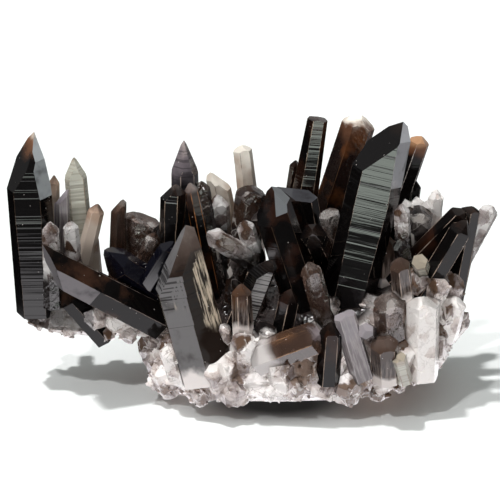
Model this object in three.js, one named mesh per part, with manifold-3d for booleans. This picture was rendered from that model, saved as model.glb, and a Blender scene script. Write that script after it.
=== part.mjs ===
// Smoky quartz cluster: dark six-sided crystals, each with a pointed head, growing up and outwards from a
// pale druse that rests on its broken underside. Millimetres, +Z up, +Y to the back. The origin is the
// middle of the flat patch that the cluster rests on.
import * as THREE from "three";
import { mergeVertices } from "three/addons/utils/BufferGeometryUtils.js";
import Module from "manifold-3d";

const wasm = await Module();
wasm.setup();

// The front view in which the crystals were measured. A point is given as [right, up, back]: right and up
// are millimetres across the view, back is the point's own distance behind the origin.
const VIEW_ELEVATION = THREE.MathUtils.degToRad(20);
const VIEW_DISTANCE = 700;
const VIEW_MIDDLE_UP = 60;
const ORIGIN_UP = 8;

// Quartz habit and fit
const HEAD_PITCH = 52; // degrees between a head face and the plane across the crystal
const TAPER = 0.7; // degrees that the sides lean in
const SEAT_GAP = 0.3; // clearance between a crystal and the druse that holds it
const ROOT = 5; // how far a crystal goes on below its stated foot
const SIDES = 6;
const ACROSS_FLATS = Math.sqrt(3) / 2; // of a regular crystal's width, which is across its corners
const MINOR_DROP = 0.06; // how far every other head face stands out from the apex, of the width

// The druse's short crystals. A pair is the least and the most, of the row's size or of the own width.
const SHORT_WIDTH = [0.7, 1.3];
const SHORT_LENGTH = [0.9, 1.7];
const SHORT_SWAY = [-0.5, 0.5];
const SHORT_SCATTER = 0.7; // of the space between two in a row
const SHORT_SUNK = 0.75; // how far the foot stands inside the lump, of the own width
const SHORT_MINOR = 0.2;
const SHORT_ROOT = 0.1;
const CROWDING = 1.35; // above 1, a row crowds to the front
const FINEST_EDGE = 0.1; // detail below this is left out of the druse

const rad = THREE.MathUtils.degToRad;
const { lerp } = THREE.MathUtils;

// The point at depth `back` that the front view shows at `right` and `up`.
function seen([right, up, back]) {
  const ahead = new THREE.Vector3(0, Math.cos(VIEW_ELEVATION), -Math.sin(VIEW_ELEVATION));
  const upward = new THREE.Vector3(0, Math.sin(VIEW_ELEVATION), Math.cos(VIEW_ELEVATION));
  const middle = upward.clone().multiplyScalar(VIEW_MIDDLE_UP - ORIGIN_UP);
  const eye = middle.clone().addScaledVector(ahead, -VIEW_DISTANCE);
  const ray = ahead.clone().multiplyScalar(VIEW_DISTANCE);
  ray.x += right;
  ray.addScaledVector(upward, up - VIEW_MIDDLE_UP);
  return eye.clone().addScaledVector(ray, (back - eye.y) / ray.y);
}

// A crystal's own frame: Z along its length, X to the right and Y to the back as seen from the front.
function crystalFrame(foot, tip) {
  const along = tip.clone().sub(foot).normalize();
  const toViewer = new THREE.Vector3(0, -Math.cos(VIEW_ELEVATION), Math.sin(VIEW_ELEVATION));
  const front = toViewer.addScaledVector(along, -toViewer.dot(along)).normalize();
  const side = along.clone().cross(front);
  return new THREE.Matrix4().makeBasis(side, front.negate(), along).setPosition(foot);
}

// A closed geometry as a solid that can be joined and cut.
function solidOf(geometry) {
  const bare = geometry.clone();
  bare.deleteAttribute("normal");
  bare.deleteAttribute("uv");
  const merged = mergeVertices(bare);
  const vertProperties = new Float32Array(merged.attributes.position.array);
  const triVerts = new Uint32Array(merged.index.array);
  return new wasm.Manifold(new wasm.Mesh({ numProp: 3, vertProperties, triVerts }));
}

function geometryOf(solid) {
  const { vertProperties, triVerts } = solid.getMesh();
  const geometry = new THREE.BufferGeometry();
  geometry.setAttribute("position", new THREE.BufferAttribute(new Float32Array(vertProperties), 3));
  geometry.setIndex(new THREE.BufferAttribute(new Uint32Array(triVerts), 1));
  const flat = geometry.toNonIndexed();
  flat.computeVertexNormals();
  return flat;
}

// Keeps the part of a solid that lies behind the plane through `point`.
function shave(solid, normal, point, grow) {
  const n = normal.clone().normalize();
  return solid.trimByPlane([-n.x, -n.y, -n.z], -(n.dot(point) + grow));
}

// One quartz crystal in its own frame. Seen from the front, side 0 faces the viewer when turn is 0 and the
// sides count to the right. The head faces meet at the apex, which may stand off the middle line. Steep
// faces lean in under the head, and growth ledges step a side back at each stated height above the foot.
function quartz(shape, length, grow = 0) {
  const { width, thick = ACROSS_FLATS * width, turn = 0, taper = TAPER, root = ROOT } = shape;
  const { apex = [0, 0], pitch = HEAD_PITCH, major = 0, minor = MINOR_DROP * width } = shape;
  const { steep = [], ledges = { side: -1, rise: 0, at: [] } } = shape;
  const reach = 2 * width;
  const block = new THREE.BoxGeometry(2 * reach, 2 * reach, length + root + reach);
  block.translate(0, 0, (length + reach - root) / 2);
  let solid = solidOf(block);
  const top = new THREE.Vector3((apex[0] * width) / 2, (-apex[1] * thick) / 2, length);
  const shoulder = length - width / 2;
  for (let k = 0; k < SIDES; k += 1) {
    const bearing = rad(turn + (360 / SIDES) * k);
    const facing = new THREE.Vector3(Math.sin(bearing), -Math.cos(bearing), 0);
    const out = (distance, height) => facing.clone().multiplyScalar(distance).setZ(height);
    const leaning = (angle) => out(Math.sin(rad(angle)), Math.cos(rad(angle)));
    const distance = (k % 3 === 0 ? thick : ACROSS_FLATS * width) / 2;
    const steps = ledges.side === k ? ledges.at : [];
    solid = shave(solid, leaning(90 - taper), out(distance + steps.length * ledges.rise, shoulder), grow);
    solid = shave(solid, leaning(pitch), top, grow + (k % 2 ? major : minor));
    for (const face of steep.filter((one) => one.side === k)) {
      solid = shave(solid, leaning(face.pitch), out(distance, length - face.below), grow);
    }
    steps.forEach((height, i) => {
      const depth = distance + (steps.length - 1 - i) * ledges.rise;
      const step = new THREE.BoxGeometry(2 * reach, 2 * reach, 2 * length);
      step.translate(0, -depth - grow - reach, height + grow + length);
      step.rotateZ(bearing);
      solid = solid.subtract(solidOf(step));
    });
  }
  return shave(solid, new THREE.Vector3(0, 0, -1), new THREE.Vector3(0, 0, -root), grow);
}

function placed(shape, grow = 0) {
  const foot = shape.at ? new THREE.Vector3(...shape.at) : seen(shape.foot);
  const tip = shape.to ? new THREE.Vector3(...shape.to) : seen(shape.tip);
  const frame = crystalFrame(foot, tip);
  const local = quartz(shape, foot.distanceTo(tip), grow);
  return { frame, local, solid: local.transform(frame.toArray()) };
}

// The crystals on the left arm
const leftArm = {
  left_tower: {
    foot: [-85, 40, -4],
    tip: [-90, 106, -4],
    width: 17.2,
    thick: 12.5,
    turn: -3,
    apex: [0.35, -0.7],
    pitch: 60,
    minor: 3,
    taper: 0,
    ledges: { side: 0, rise: 0.3, at: [9, 21, 26, 33] },
    steep: [
      { side: 1, pitch: 83, below: 24 },
      { side: 2, pitch: 82, below: 20 },
    ],
  },
  crossing_bar: {
    foot: [-40, 33.5, -12],
    tip: [-86, 57, -27],
    width: 14,
    turn: 30,
    apex: [0.8, 0.1],
    major: 3,
    minor: 0,
  },
  under_bar: { foot: [-59, 27, -11], tip: [-75.2, 44.5, -13], width: 10, turn: 25, root: 3 },
  pale_blade: { foot: [-65.5, 41, 9], tip: [-70.4, 97.2, 10], width: 8.6, thick: 5.2, turn: 8, pitch: 66 },
  small_brown_point: { foot: [-78.5, 40, 9.6], tip: [-78.4, 90, 10], width: 4.4, pitch: 62 },
  lilac_point: { foot: [-74.6, 41, 4.6], tip: [-75.4, 84.6, 4], width: 6, turn: 20, apex: [0.9, 0] },
  brown_stub: { foot: [-70, 41, 2], tip: [-60.8, 78.5, 1], width: 6.4, turn: 10 },
  pale_low_point: { foot: [-61, 41, 4], tip: [-63.4, 67, 6], width: 5.4, turn: 15, grownOn: "brown_stub" },
  bubbly_point_left: { foot: [-79, 42, -13.4], tip: [-79.8, 71.5, -14], width: 6.6, turn: 20 },
  bubbly_point_right: { foot: [-69, 42, -7], tip: [-72, 72, -8], width: 6, turn: 5 },
};

// The crystals between the left arm and the middle
const middleLeft = {
  mid_left_point: { foot: [-53.6, 38, 4], tip: [-52.4, 80.4, 6], width: 6.4, turn: 25, apex: [0.5, 0] },
  clear_block: {
    foot: [-42, 41, 10],
    tip: [-43.2, 75.5, 11],
    width: 14.4,
    turn: 10,
    apex: [-0.5, 0],
    pitch: 30,
  },
  blue_black_crystal: {
    foot: [-37, 44, -8],
    tip: [-58.5, 58.5, -14],
    width: 12,
    turn: 12,
    apex: [0.2, -0.4],
  },
  ribbed_column: {
    foot: [-32, 42, 3],
    tip: [-30.6, 86.8, 2],
    width: 10,
    turn: -6,
    apex: [0.2, 0.2],
    taper: 0,
    ledges: { side: 0, rise: 0.25, at: [22, 29, 32] },
  },
  mid_spire: { foot: [-25, 42, 14], tip: [-26.4, 104, 14], width: 10.6, turn: 14, pitch: 71 },
  leaning_dark_crystal: { foot: [-15, 42, 3], tip: [-24, 87, 3], width: 6, turn: 20 },
  rough_dark_point: { foot: [-13, 42, 13], tip: [-19.6, 87.8, 13], width: 6.4, turn: 5 },
  front_sword: {
    foot: [-18, 14, -29],
    tip: [-33, 67.8, -25],
    width: 23,
    thick: 20,
    turn: -24,
    apex: [0.62, -0.1],
    taper: 0,
    ledges: { side: 0, rise: 0.3, at: [20, 31, 37] },
  },
  brown_shard: {
    foot: [-39, 50, -12],
    tip: [-30.5, 63.5, -13],
    width: 8,
    turn: 12,
    grownOn: "blue_black_crystal",
  },
  pink_chip: {
    foot: [-42, 57, 2],
    tip: [-37.8, 67, 1],
    width: 6,
    turn: 10,
    root: 3,
    grownOn: "clear_block",
  },
  pale_stub: { foot: [-12, 42, -12], tip: [-14, 60.5, -15], width: 6, turn: 10, grownOn: "clear_lean" },
  pale_chunk: { foot: [-10.5, 44, 20], tip: [-13, 82.5, 20.5], width: 9, turn: 10 },
  back_pale_left: { foot: [-4, 43, 29], tip: [-13.6, 91.5, 30], width: 9.4, turn: 10, apex: [-0.5, 0] },
  back_pale_right: { foot: [3.5, 44, 31], tip: [-3.2, 102, 33], width: 7.8, turn: 12, pitch: 34 },
};

// The crystals in the middle
const middle = {
  speckled_block: { foot: [-4, 38, -3], tip: [0.4, 86.2, -2], width: 12, turn: 15, pitch: 36 },
  clear_lean: { foot: [-2.5, 58, -12], tip: [-17.4, 67, -19], width: 8, turn: 10 },
  pale_chip: { foot: [2, 58, -7], tip: [-2.8, 72, -12], width: 7, turn: 8, root: 3, grownOn: "clear_lean" },
  centre_lean: { foot: [22, 38, -13], tip: [6.6, 84, -16], width: 15, turn: 8, apex: [0.3, -0.3] },
  centre_cap: {
    foot: [23, 44, 8],
    tip: [16.4, 84.6, 7],
    width: 19.5,
    thick: 10,
    apex: [-0.5, -1],
    pitch: 20,
    minor: 0,
  },
  diamond_head: { foot: [28, 60, 5], tip: [25, 66.5, -30], width: 10.2, turn: 30, grownOn: "centre_cap" },
  centre_striated: { foot: [-3, 32, -24], tip: [7, 57, -27], width: 10.5, turn: 22, apex: [0.4, 0] },
  inner_dark: { foot: [2.5, 40, -13.5], tip: [2.4, 54, -14], width: 8, turn: 5 },
  glitter_knob: { foot: [38, 50, 7], tip: [31, 76.6, 3], width: 8.6, turn: 16, pitch: 36 },
  inner_brown: { foot: [54, 44, -5], tip: [55, 66, -6], width: 10, turn: 12 },
  fluted_point: { foot: [-2.5, 22, -32], tip: [-3.6, 46.6, -33], width: 7.6, turn: 5 },
  low_dark_point: { foot: [12, 24, -27], tip: [16.5, 44.5, -28], width: 8.8, turn: 30 },
  brown_chunk: { foot: [30, 32, -27], tip: [23.2, 55.2, -33], width: 8, turn: 10 },
  lying_smoky: { foot: [7, 18, -37], tip: [29, 26, -41], width: 12.6, turn: -12, pitch: 34, root: 5 },
  dark_plate: { foot: [31.2, 10, -40], tip: [32.8, 31.4, -42], width: 8.8, turn: 5, root: 3 },
  lilac_blade: { foot: [43.8, 13, -39], tip: [37.4, 35.2, -42], width: 8.6, thick: 5, turn: 12, pitch: 26 },
  lilac_stub: { foot: [47.4, 27, -32], tip: [46.2, 27.6, -44], width: 6.4, turn: 30, pitch: 22 },
  smoky_chunk: { foot: [57, 24, -31], tip: [55.2, 43, -34], width: 12.8, turn: 10, pitch: 40 },
  front_point: { foot: [62, 35, -26], tip: [59.6, 57, -36], width: 8, turn: 15 },
  brown_low: { foot: [54.4, 11, -38], tip: [53.6, 24.2, -44], width: 11, turn: 5, pitch: 30, root: 3 },
  cream_low: { foot: [61.5, 9, -40], tip: [59, 18, -46], width: 6, turn: 0, pitch: 30, root: 2 },
};

// The crystals on the right
const right = {
  great_crystal: {
    foot: [39, 41, -12],
    tip: [56.3, 111.6, -8],
    width: 20.5,
    thick: 14,
    apex: [0.48, -0.6],
    minor: 4,
    taper: 0,
    ledges: { side: 0, rise: 0.3, at: [8, 15, 19, 27, 36] },
    steep: [{ side: 1, pitch: 86, below: 31 }],
  },
  back_tall_left: {
    foot: [16.5, 50, 19],
    tip: [27.2, 113.4, 20],
    width: 8.4,
    turn: 8,
    taper: 2,
    pitch: 20,
  },
  back_tall_brown: { foot: [24, 50, 31], tip: [44.6, 114, 32], width: 14, turn: 12, pitch: 36 },
  back_pale_sliver: {
    foot: [12, 50, 23],
    tip: [18.4, 96, 24],
    width: 4.6,
    turn: 10,
    grownOn: "back_tall_left",
  },
  back_right_tall: { foot: [48, 48, 15], tip: [68.6, 105.6, 15], width: 8.6, turn: 20, pitch: 36 },
  small_brown_back: {
    foot: [60, 50, 15],
    tip: [66, 88.4, 17],
    width: 6.4,
    turn: 20,
    grownOn: "back_right_tall",
  },
  pale_grey_back: { foot: [71, 50, 10], tip: [74.6, 84.4, 10], width: 6.6, turn: 12 },
  dark_chunk: { foot: [63, 46, 2], tip: [67.6, 78, 2], width: 12.4, turn: 14, pitch: 34 },
  white_crust_left: {
    foot: [66, 68, 10],
    tip: [62, 80.5, 11],
    width: 6,
    turn: 15,
    root: 3,
    grownOn: "pale_grey_back",
  },
  white_crust_middle: {
    foot: [69, 69, 11],
    tip: [66.4, 82, 12],
    width: 6.6,
    turn: 40,
    root: 3,
    grownOn: "pale_grey_back",
  },
  white_crust_right: {
    foot: [71, 68, 8],
    tip: [70.8, 80, 7],
    width: 5.6,
    turn: 5,
    root: 3,
    grownOn: "pale_grey_back",
  },
  bright_point: { foot: [62, 46, -13], tip: [60.6, 78.6, -15], width: 6.2, turn: 10 },
  smoky_knuckle: {
    foot: [62, 55, -13],
    tip: [60, 64.5, -19],
    width: 7,
    turn: 20,
    root: 3,
    grownOn: "bright_point",
  },
  right_dark_upper: { foot: [61, 50, -8], tip: [86.4, 76, -8], width: 9.6, turn: 10, pitch: 40 },
  right_dark_lower: { foot: [70, 44, -19], tip: [86.8, 72, -20], width: 9.6, turn: 22 },
  right_edge_crystal: { foot: [81.5, 42, -8], tip: [88.6, 77.6, -7], width: 8, turn: 30, pitch: 30 },
  clear_tip: { foot: [78, 44, 5], tip: [97, 78, 5], width: 7.6, turn: 10, pitch: 40 },
  grey_edge_point: {
    foot: [84, 44, -5],
    tip: [88, 62, -3],
    width: 4.2,
    turn: 15,
    grownOn: "right_edge_crystal",
  },
  pink_crystal: { foot: [79, 30, -22], tip: [82.4, 41.5, -23], width: 10.4, turn: 10, pitch: 40 },
  white_block: { foot: [68.4, 12, -32], tip: [69.4, 41.5, -32], width: 13.2, turn: 12, pitch: 30, root: 3 },
  cream_hexagon: { foot: [68.6, 53, -24], tip: [67.8, 55.4, -37], width: 6.2, turn: 30, pitch: 8 },
};

// The crystals on the hidden back, set out in the cluster's own frame. They stay below the skyline.
const rear = {
  rear_left: { at: [-26, 22, 26], to: [-34, 40, 58], width: 9, turn: 5 },
  rear_left_low: { at: [-30, 24, 18], to: [-44, 40, 30], width: 7.5, turn: 25, grownOn: "rear_left" },
  rear_middle: { at: [15, 34, 26], to: [15, 55, 58], width: 10, turn: 12 },
  rear_middle_low: { at: [2, 34, 15], to: [-5, 55, 28], width: 8, turn: 30, grownOn: "rear_middle" },
  rear_dark: { at: [38, 34, 26], to: [45, 56, 58], width: 11, turn: 20 },
  rear_dark_low: { at: [30, 34, 15], to: [31, 57, 27], width: 8.6, turn: 8, grownOn: "rear_dark" },
  rear_right: { at: [58, 22, 28], to: [70, 44, 54], width: 9.4, turn: 14 },
  rear_right_low: { at: [52, 26, 16], to: [62, 49, 26], width: 8, turn: 20, grownOn: "rear_right" },
  rear_edge: { at: [72, 10, 34], to: [88, 24, 52], width: 8, turn: 10 },
};

const crystals = { ...right, ...leftArm, ...middleLeft, ...middle, ...rear };

// A repeatable run of numbers from 0 to 1
function lottery(seed) {
  const [times, plus, size] = [1664525, 1013904223, 2 ** 32];
  let state = seed;
  return () => {
    state = (state * times + plus) % size;
    return state / size;
  };
}

// The druse's lumps: each is a stack of rings from its underside up, then a crown. A ring is an oval at
// `round` 1 and has fuller corners below that. `tilt` lifts it towards +X.
const LUMPS = {
  bowl: {
    seed: 11,
    points: 20,
    rough: 0.05,
    round: 0.72,
    rings: [
      { z: 0, x: 10, y: 2, rx: 48, ry: 22, tilt: 0 },
      { z: 11, x: 13, y: -4, rx: 50, ry: 34, tilt: 0 },
      { z: 17, x: 18, y: -2, rx: 56, ry: 38, tilt: 0.03 },
      { z: 29, x: 21, y: 1, rx: 57, ry: 35, tilt: 0.08 },
      { z: 37, x: 24, y: 3, rx: 45, ry: 26, tilt: 0.12 },
      { z: 42, x: 26, y: 6, rx: 26, ry: 15, tilt: 0.1 },
    ],
    crown: [26, 7, 45],
  },
  rightShoulder: {
    seed: 23,
    points: 12,
    rough: 0.07,
    round: 1,
    rings: [
      { z: 12, x: 60, y: -4, rx: 16, ry: 22, tilt: 0 },
      { z: 30, x: 62, y: -6, rx: 21, ry: 26, tilt: 0 },
      { z: 42, x: 64, y: -6, rx: 18, ry: 21, tilt: 0 },
    ],
    crown: [64, -4, 48],
  },
  arm: {
    seed: 37,
    points: 14,
    rough: 0.08,
    round: 1,
    rings: [
      { z: 23, x: -55, y: -1, rx: 25, ry: 9, tilt: -0.02 },
      { z: 27, x: -57, y: 0, rx: 33, ry: 15, tilt: 0 },
      { z: 35, x: -56, y: 1, rx: 31, ry: 14, tilt: 0 },
    ],
    crown: [-57, 1, 38],
  },
};

// Rows of short crystals round a lump, closer together at the front: `level` counts its rings, `lift` is
// how steeply they point up
const ROWS = [
  { lump: "bowl", level: 1.35, count: 16, size: 6, lift: 2.4, seed: 101 },
  { lump: "bowl", level: 1.75, count: 15, size: 9, lift: 2.2, seed: 102 },
  { lump: "bowl", level: 2.3, count: 14, size: 10, lift: 2.4, seed: 103 },
  { lump: "bowl", level: 3.3, count: 8, size: 9, lift: 3, seed: 105 },
  { lump: "rightShoulder", level: 0.8, count: 8, size: 9, lift: 1.2, seed: 106 },
  { lump: "rightShoulder", level: 1.7, count: 5, size: 8, lift: 2, seed: 107 },
  { lump: "arm", level: 0.6, count: 7, size: 5.5, lift: 0.1, seed: 108 },
  { lump: "arm", level: 1.6, count: 7, size: 7, lift: 1.2, seed: 109 },
];

// Larger lumps of the druse that show in the front view
const STUDS = [
  { foot: [-22, 9, -33], tip: [-25, 18, -39], width: 10, turn: 10 },
  { foot: [-14, 6, -35], tip: [-13, 14, -42], width: 10, turn: 25 },
  { foot: [-30, 12, -29], tip: [-33, 22, -34], width: 8, turn: 40 },
  { foot: [-3, 15, -35], tip: [-2, 26.5, -41], width: 10, turn: 5 },
  { foot: [8, 22, -30], tip: [6.5, 30, -34], width: 7, turn: 15 },
  { foot: [-9, 22, -30], tip: [-11, 30.5, -33], width: 5, turn: 5 },
  { foot: [30, 32, -23], tip: [33, 41, -29], width: 8, turn: 20 },
  { foot: [68, 42, -15], tip: [68, 53, -23], width: 12, turn: 12 },
  { foot: [79, 42, -12], tip: [82, 50.5, -15], width: 11, turn: 30 },
  { foot: [74, 40, -22], tip: [76, 48, -28], width: 8, turn: 5 },
  { at: [-32, -17, 5], to: [-38, -23, 14], width: 9, turn: 20 },
  { at: [-52, 6, 28], to: [-50, 22, 46], width: 7, turn: 18 },
  { at: [-74, 6, 28], to: [-80, 22, 44], width: 6.4, turn: 30 },
];

// A share of a ring's half width or depth, fuller towards the corners where `round` is below 1
function reach(share, round) {
  return Math.sign(share) * Math.abs(share) ** round;
}

function ringPoints(lump, ring, draw) {
  return Array.from({ length: lump.points }, (_, i) => {
    const bearing = (2 * Math.PI * i) / lump.points;
    const swell = 1 + lump.rough * (2 * draw() - 1);
    const x = ring.x + ring.rx * swell * reach(Math.cos(bearing), lump.round);
    const y = ring.y + ring.ry * swell * reach(Math.sin(bearing), lump.round);
    return new THREE.Vector3(x, y, ring.z + ring.tilt * (x - ring.x));
  });
}

function lumpSolid(lump) {
  const draw = lottery(lump.seed);
  const rings = lump.rings.map((ring) => ringPoints(lump, ring, draw));
  const positions = [];
  const face = (a, b, c) => positions.push(...a.toArray(), ...b.toArray(), ...c.toArray());
  const lowest = lump.rings[0];
  const under = new THREE.Vector3(lowest.x, lowest.y, lowest.z);
  const crown = new THREE.Vector3(...lump.crown);
  const last = rings[rings.length - 1];
  for (let i = 0; i < lump.points; i += 1) {
    const j = (i + 1) % lump.points;
    face(under, rings[0][j], rings[0][i]);
    face(crown, last[i], last[j]);
    for (let r = 0; r + 1 < rings.length; r += 1) {
      face(rings[r][i], rings[r][j], rings[r + 1][j]);
      face(rings[r][i], rings[r + 1][j], rings[r + 1][i]);
    }
  }
  const geometry = new THREE.BufferGeometry();
  geometry.setAttribute("position", new THREE.Float32BufferAttribute(positions, 3));
  return solidOf(geometry);
}

function rowOfShortCrystals({ lump: name, level, count, size, lift, seed }) {
  const draw = lottery(seed);
  const { rings, round } = LUMPS[name];
  const low = rings[Math.floor(level)];
  const high = rings[Math.min(Math.floor(level) + 1, rings.length - 1)];
  const between = (key) => lerp(low[key], high[key], level % 1);
  return Array.from({ length: count }, (_, i) => {
    const along = (2 * (i + SHORT_SCATTER * draw())) / count - 1;
    const bearing = Math.PI * (Math.sign(along) * Math.abs(along) ** CROWDING - 0.5);
    const rise = lift + lerp(...SHORT_SWAY, draw());
    const out = new THREE.Vector3(Math.cos(bearing), Math.sin(bearing), rise).normalize();
    const x = between("x") + between("rx") * reach(Math.cos(bearing), round);
    const y = between("y") + between("ry") * reach(Math.sin(bearing), round);
    const z = between("z") + between("tilt") * (x - between("x"));
    const width = size * lerp(...SHORT_WIDTH, draw());
    const at = new THREE.Vector3(x, y, z).addScaledVector(out, -SHORT_SUNK * width);
    const to = at.clone().addScaledVector(out, width * lerp(...SHORT_LENGTH, draw()));
    const turn = (360 / SIDES) * draw();
    return placed({ at, to, width, turn, minor: SHORT_MINOR * width, root: SHORT_ROOT }).solid;
  });
}

// The druse is the lumps with their short crystals, cut flat where it rests, with a seat for each crystal.
function druseSolid(seats) {
  const lumps = Object.values(LUMPS).map(lumpSolid);
  const short = ROWS.flatMap(rowOfShortCrystals);
  const studs = STUDS.map((stud) => placed({ root: 3, pitch: 44, ...stud }).solid);
  const grown = wasm.Manifold.union([...lumps, ...short, ...studs]);
  const rested = shave(grown, new THREE.Vector3(0, 0, -1), new THREE.Vector3(), 0);
  return wasm.Manifold.difference([rested.simplify(FINEST_EDGE), ...seats]);
}

// Finishes: how deep the smoke is in each crystal
const FINISHES = {
  black: { color: 0x1b1a1c, roughness: 0.06 },
  brown: { color: 0x4f3a2c, roughness: 0.06 },
  pale: { color: 0xc4b3a1, roughness: 0.1 },
  druse: { color: 0xe2d8d2, roughness: 0.3 },
};
const BROWN = [
  "small_brown_point",
  "brown_stub",
  "mid_left_point",
  "clear_block",
  "fluted_point",
  "brown_chunk",
  "lying_smoky",
  "smoky_chunk",
  "brown_low",
  "front_point",
  "inner_brown",
  "glitter_knob",
  "back_tall_brown",
  "rear_middle",
  "rear_right",
];
const PALE = [
  "pale_blade",
  "lilac_point",
  "bubbly_point_left",
  "bubbly_point_right",
  "pale_chunk",
  "back_pale_left",
  "back_pale_right",
  "clear_lean",
  "lilac_blade",
  "lilac_stub",
  "cream_low",
  "pale_grey_back",
  "bright_point",
  "clear_tip",
  "pink_crystal",
  "white_block",
  "cream_hexagon",
];

function finishOf(name) {
  if (PALE.includes(name)) return "pale";
  return BROWN.includes(name) ? "brown" : "black";
}

function meshOf(name, solid, frame, finish) {
  const mesh = new THREE.Mesh(
    geometryOf(solid),
    new THREE.MeshStandardMaterial({ ...FINISHES[finish], metalness: 0 }),
  );
  mesh.name = name;
  frame.decompose(mesh.position, mesh.quaternion, mesh.scale);
  return mesh;
}

// The largest body of a solid, without the splinters that a cut leaves beside it
function mainBody(solid) {
  return solid.decompose().reduce((a, b) => (b.volume() > a.volume() ? b : a));
}

// Crystals that grow on another are one solid with it. Where two others meet, the later one in the list
// stops short of the earlier one.
const cluster = new THREE.Group();
const seats = [];
for (const [name, shape] of Object.entries(crystals)) {
  if (shape.grownOn) continue;
  const family = [shape, ...Object.values(crystals).filter((other) => other.grownOn === name)];
  const { frame } = placed(shape);
  const whole = wasm.Manifold.union(family.map((one) => placed(one).solid));
  const room = wasm.Manifold.union(family.map((one) => placed(one, SEAT_GAP).solid));
  const solid = mainBody(wasm.Manifold.difference([whole, ...seats]));
  const local = solid.transform(frame.clone().invert().toArray());
  cluster.add(meshOf(name, local, frame, finishOf(name)));
  seats.push(room);
}
cluster.add(meshOf("druse", mainBody(druseSolid(seats)), new THREE.Matrix4(), "druse"));

export default cluster;
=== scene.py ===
# A smoky quartz cluster: dark crystals with growth lines and pointed heads, on a pale druse, against white.
import math
import random

import bmesh
import bpy
import numpy as np
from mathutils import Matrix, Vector, noise
from mathutils.bvhtree import BVHTree


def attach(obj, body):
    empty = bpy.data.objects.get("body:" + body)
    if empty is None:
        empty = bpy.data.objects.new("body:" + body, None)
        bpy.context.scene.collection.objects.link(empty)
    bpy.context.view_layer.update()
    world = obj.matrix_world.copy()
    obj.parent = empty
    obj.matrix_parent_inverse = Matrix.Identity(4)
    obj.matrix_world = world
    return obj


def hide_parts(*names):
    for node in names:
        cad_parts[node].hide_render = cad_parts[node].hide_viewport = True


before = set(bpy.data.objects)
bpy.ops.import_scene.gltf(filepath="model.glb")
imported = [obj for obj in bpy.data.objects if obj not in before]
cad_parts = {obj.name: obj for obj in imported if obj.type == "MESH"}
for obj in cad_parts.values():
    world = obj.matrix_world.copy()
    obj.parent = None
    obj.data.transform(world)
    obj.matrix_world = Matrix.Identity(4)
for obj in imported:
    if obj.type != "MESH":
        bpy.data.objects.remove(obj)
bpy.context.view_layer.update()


# The camera stands in front of the cluster and looks down on it from 20 degrees above the horizon. It is
# 0.7 m from the point it looks at, and its picture is square.
MM = 0.001
VIEW_ELEVATION = math.radians(20)
VIEW_DISTANCE = 700 * MM
VIEW_WIDTH = 200 * MM
VIEW_MIDDLE = 52 * MM

ahead = Vector((0, math.cos(VIEW_ELEVATION), -math.sin(VIEW_ELEVATION)))
upward = Vector((0, math.sin(VIEW_ELEVATION), math.cos(VIEW_ELEVATION)))
camera = bpy.data.objects.new("camera", bpy.data.cameras.new("camera"))
camera.location = VIEW_MIDDLE * upward - VIEW_DISTANCE * ahead
camera.rotation_mode = "QUATERNION"
camera.rotation_quaternion = ahead.to_track_quat("-Z", "Y")
camera.data.angle = 2 * math.atan(VIEW_WIDTH / 2 / VIEW_DISTANCE)
bpy.context.scene.collection.objects.link(camera)
bpy.context.scene.camera = camera
bpy.context.scene.view_settings.view_transform = "Standard"


# The studio: a white floor with a painted shadow under the druse's front, that runs out into a white
# surround, two soft lamps above and to the left, and a low light in front. The polished faces mirror a
# bright floor, dim close in front and dark behind, and a room that is dimmer still.
FLOOR_RADIUS = 3.0
FLOOR_SIDES = 96
FLOOR_WHITE = (0.86, 0.88, 0.87, 1)
FLOOR_GLOW = (0.3, 0.3, 0.3, 1)
SHADE_MIDDLE = (11 * MM, -20 * MM)
SHADE_HALF = (45 * MM, 26 * MM)
SHADE_RIM = (0.3, 1.0)
DEEPEST_SHADE = 0.06
MIRRORED_FLOOR = 3.2
MIRRORED_FAR_FRONT = 1.6
FAR_FRONT = (-350 * MM, -600 * MM)
MIRRORED_DIM = 0.14
DIM_MIDDLE = (0 * MM, -265 * MM)
DIM_HALF = (230 * MM, 150 * MM)
DIM_RIM = (0.85, 1.15)
MIRRORED_DARK = 0.05
DARK_WAY = (-0.81, 0.59, 0)
DARK_FLOOR = (30 * MM, 160 * MM)
BACK_FLOOR = (0 * MM, 80 * MM)
FLOOR_TINT_NEAR = (1, 0.97, 1, 1)
FLOOR_TINT_FAR = (0.9, 1, 0.9, 1)
TINT_CHANGE = (-150 * MM, -450 * MM)
FULL_WHITE = (1, 1, 1, 1)
FULL_BLACK = (0, 0, 0, 1)


def put(tree, kind, wires=None, **settings):
    """Adds a node with its settings, and sets or wires the inputs that are named."""
    made = tree.nodes.new(kind)
    for key, value in settings.items():
        setattr(made, key, value)
    for key, value in (wires or {}).items():
        if isinstance(value, bpy.types.NodeSocket):
            tree.links.new(value, made.inputs[key])
        else:
            made.inputs[key].default_value = value
    return made


def reckon(tree, operation, *values):
    return put(tree, "ShaderNodeMath", dict(enumerate(values)), operation=operation).outputs["Value"]


def times(tree, *values):
    product = values[0]
    for value in values[1:]:
        product = reckon(tree, "MULTIPLY", product, value)
    return product


def ease(tree, value, low, high, start=0.0, end=1.0):
    wires = {"Value": value, "From Min": low, "From Max": high, "To Min": start, "To Max": end}
    return put(tree, "ShaderNodeMapRange", wires, interpolation_type="SMOOTHSTEP").outputs["Result"]


def blend(tree, factor, first, second, **settings):
    wires = {"Factor": factor, "A": first, "B": second}
    return put(tree, "ShaderNodeMix", wires, data_type="RGBA", **settings).outputs["Result"]


def split(tree, vector):
    return put(tree, "ShaderNodeSeparateXYZ", {"Vector": vector}).outputs


def object_place(tree):
    return put(tree, "ShaderNodeTexCoord").outputs["Object"]


def along(tree, place, way):
    return put(tree, "ShaderNodeVectorMath", {0: place, 1: way}, operation="DOT_PRODUCT").outputs["Value"]


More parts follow.
